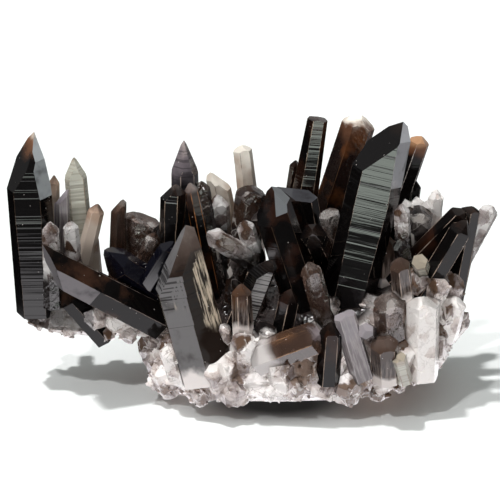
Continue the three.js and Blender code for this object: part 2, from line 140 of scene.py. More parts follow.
def oval(tree, place, middle, half):
    """How far out a place on the floor is from an oval's middle: 1 on the oval."""
    right = reckon(tree, "DIVIDE", reckon(tree, "SUBTRACT", place["X"], middle[0]), half[0])
    back = reckon(tree, "DIVIDE", reckon(tree, "SUBTRACT", place["Y"], middle[1]), half[1])
    square = reckon(tree, "MULTIPLY_ADD", right, right, reckon(tree, "POWER", back, 2.0))
    return reckon(tree, "SQRT", square)


def floor_material():
    made = bpy.data.materials.new("white_floor")
    made.use_nodes = True
    tree = made.node_tree
    tree.nodes.clear()
    ray = put(tree, "ShaderNodeLightPath").outputs
    seen = reckon(tree, "MAXIMUM", ray["Is Camera Ray"], ray["Is Transmission Ray"])
    whole = object_place(tree)
    place = split(tree, whole)
    # A painted shadow: the floor is painted darker in an oval under the druse's front.
    shade = ease(tree, oval(tree, place, SHADE_MIDDLE, SHADE_HALF), *SHADE_RIM, DEEPEST_SHADE, 1.0)
    shaded = blend(tree, shade, FULL_BLACK, FLOOR_WHITE)
    matt = put(tree, "ShaderNodeBsdfDiffuse", {"Color": blend(tree, seen, FLOOR_GLOW, shaded)})
    lit = ease(tree, along(tree, whole, DARK_WAY), *DARK_FLOOR, MIRRORED_FLOOR, MIRRORED_DARK)
    lit = times(tree, lit, ease(tree, place["Y"], *BACK_FLOOR, 1.0, MIRRORED_DARK))
    lit = reckon(tree, "ADD", lit, ease(tree, place["Y"], *FAR_FRONT, 0.0, MIRRORED_FAR_FRONT))
    dim = ease(tree, oval(tree, place, DIM_MIDDLE, DIM_HALF), *DIM_RIM, MIRRORED_DIM / MIRRORED_FLOOR, 1.0)
    tint = blend(tree, ease(tree, place["Y"], *TINT_CHANGE), FLOOR_TINT_NEAR, FLOOR_TINT_FAR)
    bright = put(tree, "ShaderNodeEmission", {"Color": tint, "Strength": times(tree, lit, dim)})
    mix = put(tree, "ShaderNodeMixShader", {
        0: ray["Is Glossy Ray"], 1: matt.outputs["BSDF"], 2: bright.outputs["Emission"],
    })
    put(tree, "ShaderNodeOutputMaterial", {"Surface": mix.outputs["Shader"]})
    return made


bm = bmesh.new()
bmesh.ops.create_circle(bm, cap_ends=True, radius=FLOOR_RADIUS, segments=FLOOR_SIDES)
floor = bpy.data.objects.new("floor", bpy.data.meshes.new("floor"))
bm.to_mesh(floor.data)
bm.free()
floor.data.materials.append(floor_material())
bpy.context.scene.collection.objects.link(floor)

BACKDROP = (1.2, 1.2, 1.2, 1)
OVERHEAD = (0.6, 0.635, 0.625, 1)
LOW_LIGHT = (0.03, 0.03, 0.03, 1)
OVERHEAD_FROM = (0.45, 0.9)
FRONT_LIGHT = 9.0
FRONT_FROM = (-0.5, -0.9)
FRONT_TOP = (0.18, 0.05)
ROOM_FRONT = 0.12
ROOM_BACK = 0.5
ROOM_CHANGE = (-0.2, 0.7)
ROOM_DARK = 0.3
ROOM_DARK_FROM = (0.45, 0.75)
HORIZON_DARK_FROM = (0.0, 0.5)
HORIZON_BACK = (0.1, 0.6)
HORIZON_TOP = (0.02, 0.16)


def surround():
    world = bpy.data.worlds.new("white_surround")
    bpy.context.scene.world = world
    world.use_nodes = True
    tree = world.node_tree
    tree.nodes.clear()
    whole = put(tree, "ShaderNodeTexCoord").outputs["Generated"]
    direction = split(tree, whole)
    behind = along(tree, whole, DARK_WAY)
    horizon = ease(tree, behind, *HORIZON_DARK_FROM, MIRRORED_FLOOR, MIRRORED_DARK)
    horizon = times(tree, horizon, ease(tree, direction["Y"], *HORIZON_BACK, 1.0, MIRRORED_DARK))
    horizon = times(tree, horizon, ease(tree, direction["Z"], *HORIZON_TOP, 1.0, 0.0))
    room = ease(tree, direction["Y"], *ROOM_CHANGE, ROOM_FRONT, ROOM_BACK)
    room = times(tree, room, ease(tree, behind, *ROOM_DARK_FROM, 1.0, ROOM_DARK))
    mirrored = reckon(tree, "MAXIMUM", horizon, room)
    front = ease(tree, direction["Y"], *FRONT_FROM, 0.0, FRONT_LIGHT)
    front = times(tree, front, ease(tree, direction["Z"], *FRONT_TOP))
    low = blend(tree, front, LOW_LIGHT, FULL_WHITE, clamp_factor=False)
    soft = blend(tree, ease(tree, direction["Z"], *OVERHEAD_FROM), low, OVERHEAD)
    ray = put(tree, "ShaderNodeLightPath").outputs
    seen = reckon(tree, "MAXIMUM", ray["Is Camera Ray"], ray["Is Transmission Ray"])
    light = blend(tree, seen, soft, BACKDROP)
    light = blend(tree, ray["Is Glossy Ray"], light, put(tree, "ShaderNodeCombineColor", {
        "Red": mirrored, "Green": mirrored, "Blue": mirrored,
    }).outputs["Color"])
    white = put(tree, "ShaderNodeBackground", {"Color": light})
    put(tree, "ShaderNodeOutputWorld", {"Surface": white.outputs["Background"]})


surround()

LAMPS = (((-0.38, -0.5, 1.0), 1.0), ((-0.28, -0.05, 1.0), 2.3))
LAMP_SOFTNESS = math.radians(3.5)
for number, (way, strength) in enumerate(LAMPS):
    sun = bpy.data.lights.new(f"lamp_{number}", "SUN")
    sun.energy = strength
    sun.angle = LAMP_SOFTNESS
    lamp = bpy.data.objects.new(f"lamp_{number}", sun)
    lamp.rotation_mode = "QUATERNION"
    lamp.rotation_quaternion = Vector(way).to_track_quat("Z", "Y")
    bpy.context.scene.collection.objects.link(lamp)


# The druse: a crust of milky quartz, all short crystals grown into one another, broken off below. The CAD
# solid gives its form and its larger crystals; here its faces break up into small tilted facets.
CRUST_EDGE = 1.3 * MM
TOUCHING = 0.7 * MM
BLOCK = 5.5 * MM
CHIP = 2.0 * MM
BLOCK_TILT = 0.28
CHIP_TILT = 0.16
MOST_IN = 1.1 * MM
MOST_OUT = 0.5 * MM
UNDERSIDE = 0.2 * MM
FOOT_LEFT_WHOLE = 2 * MM
MOST_CUTS = 8
SAME_PLACE = 2e-6
SAME_PLANE = math.radians(0.5)
SLOPE_STEP = 3.7
TONE_STEP = 9.1
FACET_SEED = 5
noise.seed_set(FACET_SEED)

# Painted shade low on the druse's right and in patches on its front, and painted light mid-front.
FOOT_PAINTED_SHADE = 0.35
FOOT_SHADE_BAND = (22, 14)
FOOT_SHADE_FROM_LEFT = (15, 40)
MIDDLE_PAINTED_LIGHT = 0.25
PAINTED_LIGHT_MIDDLE = (2, 32)
PATCH_SHADE = 0.6
SHADE_PATCHES = ((22, 21, 12), (-2, 34, 6), (42, 11, 10))
SHELF_PALER = 0.1
SHELF_FROM = (55, 35)
HOLLOW_MIDDLE = (10, -2)
HOLLOW_HALF = (50, 36)
HOLLOW_ABOVE = 27
HOLLOW_RIM = 5
FACES_UP = 2
ARM_FROM = -60
ARM_SMOKE = 0.8


def merged_copy(node):
    bm = bmesh.new()
    bm.from_mesh(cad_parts[node].data)
    bmesh.ops.remove_doubles(bm, verts=bm.verts, dist=SAME_PLACE)
    bmesh.ops.dissolve_limit(bm, angle_limit=SAME_PLANE, verts=bm.verts, edges=bm.edges)
    return bm


def finely_cut(bm, edge, above):
    bmesh.ops.triangulate(bm, faces=bm.faces)
    for _ in range(MOST_CUTS):
        long = [e for e in bm.edges if e.calc_length() > edge and max(v.co.z for v in e.verts) > above]
        if not long:
            break
        bmesh.ops.subdivide_edges(bm, edges=long, cuts=1)
        bmesh.ops.triangulate(bm, faces=[f for f in bm.faces if len(f.verts) > 3])
    bm.normal_update()


def facet(place, cell, tilt):
    """How far a point stands out on a broken surface of flat tilted facets, and a value for its facet."""
    centre = noise.voronoi(place / cell)[1][0]
    slope = noise.noise_vector(centre * SLOPE_STEP)
    return tilt * cell * slope.dot(place / cell - centre), 0.5 + 0.5 * noise.noise(centre * TONE_STEP)


def mark_crests(bm):
    """Writes how far each point stands out of its surroundings, smoothed, as a share of an edge."""
    crest = bm.verts.layers.float.new("crest")
    near = {v: [e.other_vert(v) for e in v.link_edges] for v in bm.verts}
    for v, others in near.items():
        middle = sum((o.co for o in others), Vector()) / len(others)
        v[crest] = (v.co - middle).dot(v.normal) / CRUST_EDGE
    smooth = {
        v: (v[crest] + sum(o[crest] for o in others)) / (1 + len(others)) for v, others in near.items()
    }
    for v, value in smooth.items():
        v[crest] = value


def all_but(node):
    """A search tree over all the solids but one."""
    bm = bmesh.new()
    for other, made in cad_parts.items():
        if other != node:
            bm.from_mesh(made.data)
    tree = BVHTree.FromBMesh(bm)
    bm.free()
    return tree


def show(name, mesh):
    made = bpy.data.objects.new(name, mesh)
    bpy.context.scene.collection.objects.link(made)
    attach(made, "root")
    return made


def show_instead(node, name, bm, material):
    """Puts a finished mesh in the scene in place of its solid."""
    mesh = bpy.data.meshes.new(name)
    bm.to_mesh(mesh)
    bm.free()
    mesh.materials.append(material)
    made = show(name, mesh)
    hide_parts(node)
    return made


def broken_surface(bm, others, block, chip, out):
    """Breaks a surface up into flat tilted facets, large and small, wherever nothing else touches it."""
    tone = bm.verts.layers.float.new("tone")
    free = bm.verts.layers.float.new("free")
    for v in bm.verts:
        near = others.find_nearest(v.co, TOUCHING + MM)[3]
        away = TOUCHING + MM if near is None else near
        v[free] = 1.0 if away > TOUCHING and v.co.z > FOOT_LEFT_WHOLE else 0.0
        large, v[tone] = facet(v.co, block, BLOCK_TILT)
        small, _ = facet(v.co, chip, CHIP_TILT)
        push = max(-MOST_IN, min(out, large + small)) * min(1, max(0, away - TOUCHING) / MM)
        if v.co.z > UNDERSIDE:
            v.co += v.normal * push
            v.co.z = max(v.co.z, UNDERSIDE / 4)
    bm.normal_update()
    mark_crests(bm)


def share(value):
    return min(1.0, max(0.0, value))


def shade_crust(bm):
    """Sets how pale each point is, with painted shade and painted light, and how smoky, in the hollow and
    on the arm.
    """
    tone = bm.verts.layers.float["tone"]
    smoke = bm.verts.layers.float.new("smoke")
    for v in bm.verts:
        x, y, z = v.co / MM
        # Painted shade low on the druse's right, darkest at its foot.
        right = share((x - FOOT_SHADE_FROM_LEFT[0]) / FOOT_SHADE_FROM_LEFT[1])
        v[tone] -= FOOT_PAINTED_SHADE * right * share((FOOT_SHADE_BAND[0] - z) / FOOT_SHADE_BAND[1])
        if y < 0:
            # Painted light: the middle of the druse's front is painted paler, where the light falls full on
            # it.
            v[tone] += MIDDLE_PAINTED_LIGHT * share(1 - abs(x - PAINTED_LIGHT_MIDDLE[0]) / PAINTED_LIGHT_MIDDLE[1])
            # Painted shade: darker patches on the druse's front, one of them under the lying smoky crystal.
            for patch_x, patch_z, reach in SHADE_PATCHES:
                v[tone] -= PATCH_SHADE * share(1 - math.hypot(x - patch_x, z - patch_z) / reach)
        if x > SHELF_FROM[0] and z > SHELF_FROM[1]:
            v[tone] += SHELF_PALER
        if z > HOLLOW_ABOVE:
            across = (x - HOLLOW_MIDDLE[0]) / HOLLOW_HALF[0]
            back = (y - HOLLOW_MIDDLE[1]) / HOLLOW_HALF[1]
            hollow = share(HOLLOW_RIM * (1 - across ** 2 - back ** 2)) * share(FACES_UP * v.normal.z)
            v[smoke] = max(hollow, ARM_SMOKE if x < ARM_FROM else 0.0)


def crust(material):
    bm = merged_copy("druse")
    finely_cut(bm, CRUST_EDGE, UNDERSIDE)
    broken_surface(bm, all_but("druse"), BLOCK, CHIP, MOST_OUT)
    shade_crust(bm)
    return show_instead("druse", "druse_crust", bm, material)


def new_group(name, given, results):
    """A shader node group with named inputs, each with its usual value, and named outputs."""
    tree = bpy.data.node_groups.new(name, "ShaderNodeTree")
    for label, value in given.items():
        kind = "NodeSocketColor" if isinstance(value, tuple) else "NodeSocketFloat"
        socket = tree.interface.new_socket(name=label, in_out="INPUT", socket_type=kind)
        socket.default_value = (*value, 1) if isinstance(value, tuple) else value
    for label, kind in results.items():
        tree.interface.new_socket(name=label, in_out="OUTPUT", socket_type="NodeSocket" + kind)
    return tree, put(tree, "NodeGroupInput").outputs


CLOUD_GRAIN = 120.0
BROAD_GRAIN = 38.0
DRIFT_GRAIN = 170.0
DRIFT = (0.007, 0.007, 0.007)
VEIL_GRAIN = 190.0
CRACK_GRAIN = 380.0
TONE_SPREAD = 1.5
CLOUD_SPREAD = 1.2
BROAD_SPREAD = 2.0
USUAL_LEVEL = -0.92
BROWN_TO_GREY = (0.12, 0.3)
GREY_TO_PALE = (0.28, 0.5)
PALE_TO_WHITE = (0.5, 0.7)
VEIL_EDGE = (0.07, 0.0)
VEILED_FROM = (0.48, 0.62)
CREST_EDGE = (0.08, 0.25)
CRESTED_FROM = (0.38, 0.58)
CRACK_EDGE = (0.06, 0.01)
CRACKED_FROM = (0.56, 0.46)
DEEP_SMOKE = (0.012, 0.008, 0.007, 1)


def cloudy(tree, place, grain, detail):
    wires = {"Vector": place, "Scale": grain, "Detail": detail}
    return put(tree, "ShaderNodeTexNoise", wires).outputs["Fac"]


def cell_edge(tree, place, grain, reach):
    """1 along the edges of cells of a grain, and less away from them."""
    cells = put(tree, "ShaderNodeTexVoronoi", {"Vector": place, "Scale": grain}, feature="DISTANCE_TO_EDGE")
    return ease(tree, cells.outputs["Distance"], *reach)


def milky_tone(tree, ask, cloud, broad):
    """From brown by way of grey and pinkish to white, in clouds within broad patches."""
    level = reckon(tree, "MULTIPLY_ADD", cloud, CLOUD_SPREAD, USUAL_LEVEL)
    level = reckon(tree, "MULTIPLY_ADD", ask["Tone"], TONE_SPREAD, level)
    level = reckon(tree, "ADD", level, ask["Milk"])
    level = reckon(tree, "MULTIPLY_ADD", reckon(tree, "SUBTRACT", broad, 0.5), BROAD_SPREAD, level)
    colour = blend(tree, ease(tree, level, *BROWN_TO_GREY), ask["Brown"], ask["Grey"])
    colour = blend(tree, ease(tree, level, *GREY_TO_PALE), colour, ask["Pale"])
    return blend(tree, ease(tree, level, *PALE_TO_WHITE), colour, ask["White"])


def milky_look():
    """Milky quartz with brown cracks, whiter along its edges and in veils that run through it."""
    given = {
        "White": (0.95, 0.9, 0.87), "Pale": (0.66, 0.57, 0.53), "Grey": (0.27, 0.22, 0.21),
        "Brown": (0.12, 0.07, 0.045),
        "Tone": 0.5, "Crest": 0.0, "Smoke": 0.0, "Veils": 1.0, "Cracks": 0.6, "Milk": 0.0,
    }
    tree, ask = new_group("milky_look", given, {"Color": "Color"})
    place = object_place(tree)
    cloud = cloudy(tree, place, CLOUD_GRAIN, 4.0)
    broad = cloudy(tree, place, BROAD_GRAIN, 2.0)
    wires = {"Vector": place, "Scale": DRIFT_GRAIN, "Detail": 3.0}
    drift = put(tree, "ShaderNodeTexNoise", wires).outputs["Color"]
    bent = put(tree, "ShaderNodeVectorMath", {0: drift, 1: DRIFT, 2: place}, operation="MULTIPLY_ADD")
    bent = bent.outputs["Vector"]

    colour = milky_tone(tree, ask, cloud, broad)
    cracked = times(tree, cell_edge(tree, bent, CRACK_GRAIN, CRACK_EDGE), ease(tree, cloud, *CRACKED_FROM))
    colour = blend(tree, times(tree, cracked, ask["Cracks"]), colour, ask["Brown"])
    veiled = times(tree, cell_edge(tree, bent, VEIL_GRAIN, VEIL_EDGE), ease(tree, cloud, *VEILED_FROM))
    crested = times(tree, ease(tree, ask["Crest"], *CREST_EDGE), ease(tree, cloud, *CRESTED_FROM))
    white = times(tree, reckon(tree, "MAXIMUM", veiled, crested), ask["Veils"])
    colour = blend(tree, white, colour, ask["White"])
    put(tree, "NodeGroupOutput", {"Color": blend(tree, ask["Smoke"], colour, DEEP_SMOKE)})
    return tree


MILKY_LOOK = milky_look()
GROUND_GLASS = 0.22
QUARTZ_IOR = 1.544
MILKY_TINT = (0.75, 0.66, 0.6)
SKIN_GRAIN = 900.0
SKIN_DEPTH = 0.3 * MM
SKIN_STRENGTH = 0.5


def fill_in(node, values):
    for key, value in values.items():
        node.inputs[key].default_value = (*value, 1) if isinstance(value, tuple) else value


def finish_quartz(tree, colour, bump, see_through, roughness, gloss=0.5):
    shader = tree.nodes["Principled BSDF"]
    tree.links.new(colour.outputs["Color"], shader.inputs["Base Color"])
    tree.links.new(bump.outputs["Normal"], shader.inputs["Normal"])
    shader.inputs["Transmission Weight"].default_value = see_through
    shader.inputs["IOR"].default_value = QUARTZ_IOR
    shader.inputs["Roughness"].default_value = roughness
    shader.inputs["Specular IOR Level"].default_value = gloss


def absorb(tree, tint, density):
    taken = put(tree, "ShaderNodeVolumeAbsorption", {"Color": (*tint, 1), "Density": density})
    tree.links.new(taken.outputs["Volume"], tree.nodes["Material Output"].inputs["Volume"])


def milky_quartz(name, see_through, roughness, smoke=0.0, **look):
    made = bpy.data.materials.new(name)
    made.use_nodes = True
    tree = made.node_tree
    colour = put(tree, "ShaderNodeGroup", node_tree=MILKY_LOOK)
    fill_in(colour, look)
    for label in ("Tone", "Crest", "Smoke"):
        if label not in look:
            value = put(tree, "ShaderNodeAttribute", attribute_name=label.lower()).outputs["Fac"]
            tree.links.new(value, colour.inputs[label])
    grain = cloudy(tree, object_place(tree), SKIN_GRAIN, 3.0)
    bump = put(tree, "ShaderNodeBump", {"Height": grain, "Distance": SKIN_DEPTH, "Strength": SKIN_STRENGTH})
    finish_quartz(tree, colour, bump, see_through, roughness)
    if smoke:
        absorb(tree, MILKY_TINT, smoke)
    return made


BLANK = 6
SIDES_OUT = (0.36, 0.5)
SIDE_TAPER = 0.05
BEARING_STRAY = 4
FOOT_DOWN = -0.5
TIP_UP = 1.1
HEADS_OUT = (-0.05, 0.15)
HEAD_SLOPE = (0.79, 0.61)


def short_crystal(name, draw):
    """A stubby crystal of width 1 that points up, with one of its head faces larger than the others."""
    bm = bmesh.new()
    bmesh.ops.create_cube(bm, size=BLANK)
    up = Vector((0, 0, 1))
    cuts = [(up * FOOT_DOWN, -up)]
    for number in range(6):
        bearing = math.radians(60 * number + BEARING_STRAY * draw.uniform(-1, 1))
        out = Vector((math.cos(bearing), math.sin(bearing), 0))
        slant = out * HEAD_SLOPE[0] + up * HEAD_SLOPE[1]
        cuts.append((out * draw.uniform(*SIDES_OUT), out + up * SIDE_TAPER))
        cuts.append((up * TIP_UP + out * draw.uniform(*HEADS_OUT), slant))
    for point, normal in cuts:
        whole = bm.verts[:] + bm.edges[:] + bm.faces[:]
        cut = bmesh.ops.bisect_plane(bm, geom=whole, plane_co=point, plane_no=normal, clear_outer=True)
        rim = [e for e in cut["geom_cut"] if isinstance(e, bmesh.types.BMEdge)]
        bmesh.ops.contextual_create(bm, geom=rim)
    bmesh.ops.recalc_face_normals(bm, faces=bm.faces)
    mesh = bpy.data.meshes.new(name)
    bm.to_mesh(mesh)
    bm.free()
    return bpy.data.objects.new(name, mesh)


WHOLE_TURN = 6.28
MOST_POINTS = 4e5


def drawn(tree, low, high, seed):
    """A value of its own for each crystal, between two others."""
    wires = {2: low, 3: high, "Seed": seed}
    return put(tree, "FunctionNodeRandomValue", wires, data_type="FLOAT").outputs[1]


def written(tree, label):
    read = put(tree, "GeometryNodeInputNamedAttribute", {"Name": label}, data_type="FLOAT")
    return read.outputs["Attribute"]


def stand_up(tree, normal, ask):
    """Stands a crystal out from the surface, drawn upwards and a little astray, and turned on its axis."""
    wires = {0: (-1, -1, -1), 1: (1, 1, 1), "Seed": ask["Seed"]}
    stray = put(tree, "FunctionNodeRandomValue", wires, data_type="FLOAT_VECTOR").outputs[0]
    lean = put(tree, "ShaderNodeVectorMath", {0: stray, "Scale": ask["Lean"]}, operation="SCALE")
    lift = put(tree, "ShaderNodeCombineXYZ", {"Z": ask["Lift"]}).outputs["Vector"]
    out = put(tree, "ShaderNodeVectorMath", {0: normal, 1: lean.outputs["Vector"]}).outputs["Vector"]
    out = put(tree, "ShaderNodeVectorMath", {0: out, 1: lift}).outputs["Vector"]
    upright = put(tree, "FunctionNodeAlignRotationToVector", {"Vector": out}, axis="Z").outputs["Rotation"]
    angle = drawn(tree, 0.0, WHOLE_TURN, ask["Seed"])
    turn = put(tree, "FunctionNodeAxisAngleToRotation", {"Angle": angle}).outputs["Rotation"]
    wires = {"Rotation": upright, "Rotate By": turn}
    return put(tree, "FunctionNodeRotateRotation", wires, rotation_space="LOCAL").outputs["Rotation"]


def growth_tree():
    """Geometry nodes that set short crystals on a surface and join them into one mesh."""
    tree = bpy.data.node_groups.new("short_crystals_on_a_surface", "GeometryNodeTree")
    kinds = {
        "Geometry": "Geometry", "Spacing": "Float", "Least Size": "Float", "Most Size": "Float",
        "Lift": "Float", "Lean": "Float", "Smoke": "Float", "Seed": "Int", "Crystals": "Collection",
        "Material": "Material",
    }
    for label, kind in kinds.items():
        tree.interface.new_socket(name=label, in_out="INPUT", socket_type="NodeSocket" + kind)
    tree.interface.new_socket(name="Geometry", in_out="OUTPUT", socket_type="NodeSocketGeometry")
    ask = put(tree, "NodeGroupInput").outputs
    apart = reckon(tree, "ABSOLUTE", reckon(tree, "SUBTRACT", written(tree, "smoke"), ask["Smoke"]))
    here = times(tree, written(tree, "free"), reckon(tree, "LESS_THAN", apart, 0.5))
    spread = put(tree, "GeometryNodeDistributePointsOnFaces", {
        "Mesh": ask["Geometry"], "Distance Min": ask["Spacing"], "Density Max": MOST_POINTS,
        "Density Factor": here, "Seed": ask["Seed"],
    }, distribute_method="POISSON")
    wires = {"Collection": ask["Crystals"], "Separate Children": True}
    models = put(tree, "GeometryNodeCollectionInfo", wires).outputs["Instances"]
    grown = put(tree, "GeometryNodeInstanceOnPoints", {
        "Points": spread.outputs["Points"], "Instance": models, "Pick Instance": True,
        "Rotation": stand_up(tree, spread.outputs["Normal"], ask),
        "Scale": drawn(tree, ask["Least Size"], ask["Most Size"], ask["Seed"]),
    })
    joined = put(tree, "GeometryNodeRealizeInstances", {"Geometry": grown.outputs["Instances"]})
    smoky = put(tree, "GeometryNodeStoreNamedAttribute", {
        "Geometry": joined.outputs["Geometry"], "Name": "smoke", "Value": ask["Smoke"],
    }, data_type="FLOAT", domain="POINT")
    finished = put(tree, "GeometryNodeSetMaterial", {
        "Geometry": smoky.outputs["Geometry"], "Material": ask["Material"],
    })
    put(tree, "NodeGroupOutput", {"Geometry": finished.outputs["Geometry"]})
    return tree


def short_crystals(name, surface, slot, **given):
    """Grows short crystals on a piece's surface, as a plain mesh of their own."""
    carrier = bpy.data.objects.new(name + "_carrier", surface.data)
    bpy.context.scene.collection.objects.link(carrier)
    growth = carrier.modifiers.new("growth", "NODES")
    growth.node_group = GROWTH
    sockets = {s.name: s.identifier for s in GROWTH.interface.items_tree if s.in_out == "INPUT"}
    for key, value in given.items():
        growth[sockets[key]] = value
    evaluated = carrier.evaluated_get(bpy.context.evaluated_depsgraph_get())
    mesh = bpy.data.meshes.new_from_object(evaluated)
    mesh.name = name
    bpy.data.objects.remove(carrier)
    show(name, mesh)


MILK = milky_quartz("milky_quartz", 0.2, GROUND_GLASS)
base = crust(MILK)
SHORT_CRYSTALS = bpy.data.collections.new("short_crystals")
CRYSTAL_KINDS = 7
CRYSTAL_SEED = 5
chance = random.Random(CRYSTAL_SEED)
for number in range(CRYSTAL_KINDS):
    SHORT_CRYSTALS.objects.link(short_crystal(f"short_crystal_{number}", chance))
GROWTH = growth_tree()
short_crystals("milky_short_crystals", base, "druse", **{
    "Spacing": 5.0 * MM, "Least Size": 0.6 * MM, "Most Size": 2.0 * MM, "Lift": 0.6, "Lean": 0.5,
    "Smoke": 0.0, "Seed": 3, "Crystals": SHORT_CRYSTALS, "Material": MILK,
})


# The crystals. Each grew as a six-sided column with a pointed head, and fine growth lines run across its
# sides: here each side is cut into rows, and every row is tilted a little against the next.
SIDE_TOLERANCE = math.sin(math.radians(9))
SAME_SIDE = math.cos(math.radians(10))
SAME_WAY = math.cos(math.radians(5))
CLUSTER_MIDDLE = Vector((0.01, 0, 0.02))
LARGE_FACES = 14
LEAST_SLANT = 0.5
CLEARLY_MORE = 1.001
LEAST_SHARE = 0.12
HEAD_PASSES = 6
FINEST_ROW = 0.15
LAST_ROW = 0.3 * MM
CUT_CLEAR = 0.02 * MM
CUT_WIDTH = 1e-7
NEARLY_PARALLEL = 0.12
MOST_SINK = 2.5
FAR = 99.0
LUMP_EDGE = 0.7 * MM
LUMP_SMOKE_CHANGE = 5 * MM


def column_axes(bm):
    """The directions that large faces of a mesh stand along, the best first."""
    left = sorted(bm.faces, key=lambda f: -f.calc_area())
    total = sum(f.calc_area() for f in left)
    found = []
    while left:
        best, most = None, 0
        for i, one in enumerate(left[:LARGE_FACES]):
            for other in left[i + 1:LARGE_FACES]:
                axis = one.normal.cross(other.normal)
                if axis.length < LEAST_SLANT:
                    continue
                axis.normalize()
                area = sum(f.calc_area() for f in left if abs(f.normal.dot(axis)) < SIDE_TOLERANCE)
                if area > most * CLEARLY_MORE:
                    best, most = axis, area
        if best is None or most < LEAST_SHARE * total:
            break
        members = [f for f in left if abs(f.normal.dot(best)) < SIDE_TOLERANCE]
        middle = sum((f.calc_center_median() * f.calc_area() for f in members), Vector()) / most
        found.append(best if best.dot(middle - CLUSTER_MIDDLE) > 0 else -best)
        left = [f for f in left if f not in members]
    return found


def mark_sides(bm, axes):
    """Numbers each face's column and side, -1 for a head face, and lists the sides."""
    column = bm.faces.layers.int.new("column")
    side = bm.faces.layers.int.new("side")
    sides = []
    for f in bm.faces:
        f[column], f[side] = -1, -1
        for c, axis in enumerate(axes):
            if f[column] < 0 and abs(f.normal.dot(axis)) < SIDE_TOLERANCE:
                f[column] = c
        if f[column] >= 0:
            same = [s for s, (c, normal) in enumerate(sides)
                    if c == f[column] and f.normal.dot(normal) > SAME_SIDE]
            if not same:
                sides.append((f[column], f.normal.copy()))
            f[side] = same[0] if same else len(sides) - 1
    for _ in range(HEAD_PASSES):
        for f in [f for f in bm.faces if f[column] < 0]:
            near = [(e.calc_length(), g[column]) for e in f.edges for g in e.link_faces if g[column] >= 0]
            if near:
                f[column] = max(near)[1]
    for f in bm.faces:
        f[column] = max(f[column], 0)
    return column, side, sides


def cut_rows(bm, side, number, axis, draw, row, relief):
    """Cuts one side of a column into rows, and gives the height and depth of each cut."""
    def reach(f):
        heights = [v.co.dot(axis) for v in f.verts]
        return min(heights), max(heights)

    ends = [reach(f) for f in bm.faces if f[side] == number]
    top = max(high for _, high in ends)
    stops, depths = [min(low for low, _ in ends)], [0.0]
    while stops[-1] < top - LAST_ROW:
        stops.append(stops[-1] + MM * max(FINEST_ROW, draw.expovariate(1 / row)))
        depths.append(MM * relief * draw.random())
    for stop in stops[1:-1]:
        crossed = [f for f in bm.faces if f[side] == number
                   and reach(f)[0] < stop - CUT_CLEAR and reach(f)[1] > stop + CUT_CLEAR]
        # A dict holds each once, and unlike a set it keeps them in the same order on every run.
        edges = dict.fromkeys(e for f in crossed for e in f.edges)
        verts = dict.fromkeys(v for f in crossed for v in f.verts)
        bmesh.ops.bisect_plane(bm, geom=[*crossed, *edges, *verts], dist=CUT_WIDTH,
                               plane_co=axis * stop, plane_no=axis)
    return stops, depths


def sink_rows(bm, side, sides, axes, profiles, relief):
    """Moves each point to the depth of its rows on every side that meets there."""
    longest = MOST_SINK * relief * MM
    moves = []

    def depth(v, number):
        if number < 0:
            return 0.0
        return -float(np.interp(v.co.dot(axes[sides[number][0]]), *profiles[number]))

    for v in bm.verts:
        faces = {f[side] if f[side] >= 0 else -1 - i: f for i, f in enumerate(v.link_faces)}
        depths = [depth(v, number) for number in faces]
        if any(depths):
            normals = np.array([f.normal for f in faces.values()])
            move = np.linalg.lstsq(normals, np.array(depths), rcond=NEARLY_PARALLEL)[0]
            length = np.linalg.norm(move)
            moves.append((v, Vector(move * (min(1, longest / length) if length else 1))))
    for v, move in moves:
        v.co += move


def map_growth(bm, column, side, axes):
    """Writes two UV maps in millimetres: across and down from the tip, and in from a row's two ends."""
    growth = bm.loops.layers.uv.new("growth")
    ends = bm.loops.layers.uv.new("ends")
    tips = [max(v.co.dot(axis) for v in bm.verts if any(f[column] == c for f in v.link_faces))
            for c, axis in enumerate(axes)]
    for f in bm.faces:
        axis = axes[f[column]]
        across = axis.cross(f.normal).normalized()
        reach = [loop.vert.co.dot(across) / MM for loop in f.loops]
        for loop, u in zip(f.loops, reach):
            loop[growth].uv = (u, (tips[f[column]] - loop.vert.co.dot(axis)) / MM)
            loop[ends].uv = (u - min(reach), max(reach) - u) if f[side] >= 0 else (FAR, FAR)
        f.smooth = False


def mark_painted_reflection(bm, ways):
    """Marks the faces that look the given ways, to be painted grey as a reflection: degrees round from the
    front, and up.
    """
    painted_reflection = bm.faces.layers.float.new("painted_reflection")
    for round_to, up in ways:
        turn, rise = math.radians(round_to), math.radians(up)
        way = Vector((math.sin(turn) * math.cos(rise), -math.cos(turn) * math.cos(rise), math.sin(rise)))
        for f in bm.faces:
            if f.normal.dot(way) > SAME_WAY:
                f[painted_reflection] = 1.0


def grow(material, *nodes, slot="smoky_black", row=0.7, relief=0.035, painted_reflection=(), columns=1):
    """Cuts crystals' sides into rows of a height in millimetres, and sinks each by up to the relief."""
    for node in nodes:
        bm = merged_copy(node)
        axes = column_axes(bm)[:columns]
        column, side, sides = mark_sides(bm, axes)
        mark_painted_reflection(bm, painted_reflection)
        draw = random.Random(node)
        profiles = [cut_rows(bm, side, number, axes[sides[number][0]], draw, row, relief)
                    for number in range(len(sides))]
        sink_rows(bm, side, sides, axes, profiles, relief)
        map_growth(bm, column, side, axes)
        show_instead(node, node + "_quartz", bm, material)


def lump(node, material, block=4 * MM, chip=1.3 * MM, dark_below=None):
    """Breaks a crystal's faces up into facets, none of them past its solid, and darkens its foot."""
    bm = merged_copy(node)
    finely_cut(bm, LUMP_EDGE, UNDERSIDE)
    broken_surface(bm, all_but(node), block, chip, 0.0)
    smoke = bm.verts.layers.float.new("smoke")
    for v in bm.verts:
        v[smoke] = share((dark_below - v.co.z) / LUMP_SMOKE_CHANGE) if dark_below else 0.0
    show_instead(node, node + "_quartz", bm, material)
